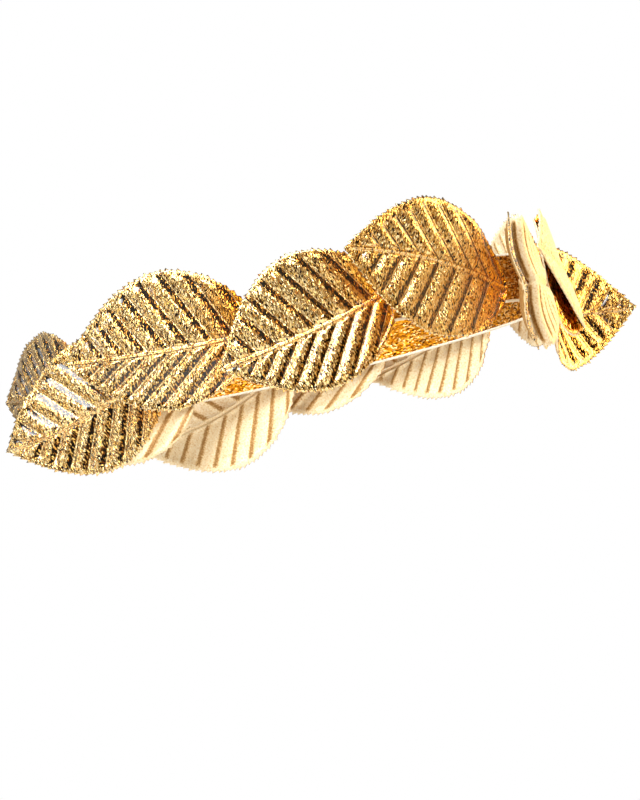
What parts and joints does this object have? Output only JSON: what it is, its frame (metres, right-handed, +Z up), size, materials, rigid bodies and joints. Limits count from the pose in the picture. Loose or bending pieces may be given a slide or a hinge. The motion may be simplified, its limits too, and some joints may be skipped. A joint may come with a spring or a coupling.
{
  "type": "leaf headband",
  "caption": "Elastic headband covered with overlapping embossed cloth leaves that point back from the forehead, with folded leaves forming a small bow at the front centre.",
  "frame": {"origin": "middle of the head opening, halfway up the elastic band", "axes": "+Z up along the head opening's axis, -Y towards the front of the head, -X towards the wearer's right"},
  "size_m": [0.2009, 0.2433, 0.0733],
  "materials": {
    "elastic": "metallic thread knitted into elastic",
    "leaf_foil": "shiny crinkled gold foil cloth, embossed",
    "leaf_reverse": "matt pale gold reverse of the foil cloth"
  },
  "bodies": {
    "root": {"elastic_band": "elastic", "leaf_right_1": "leaf_foil", "leaf_right_2": "leaf_foil", "leaf_right_3": "leaf_foil", "leaf_right_4": "leaf_foil", "leaf_right_5": "leaf_foil", "leaf_right_6": "leaf_foil", "leaf_left_1": "leaf_foil", "leaf_left_2": "leaf_foil", "leaf_left_3": "leaf_foil", "leaf_left_4": "leaf_foil", "leaf_left_5": "leaf_foil", "leaf_left_6": "leaf_foil", "bow_loop_right": "leaf_reverse", "bow_loop_left": "leaf_reverse"}
  },
  "joints": []
}
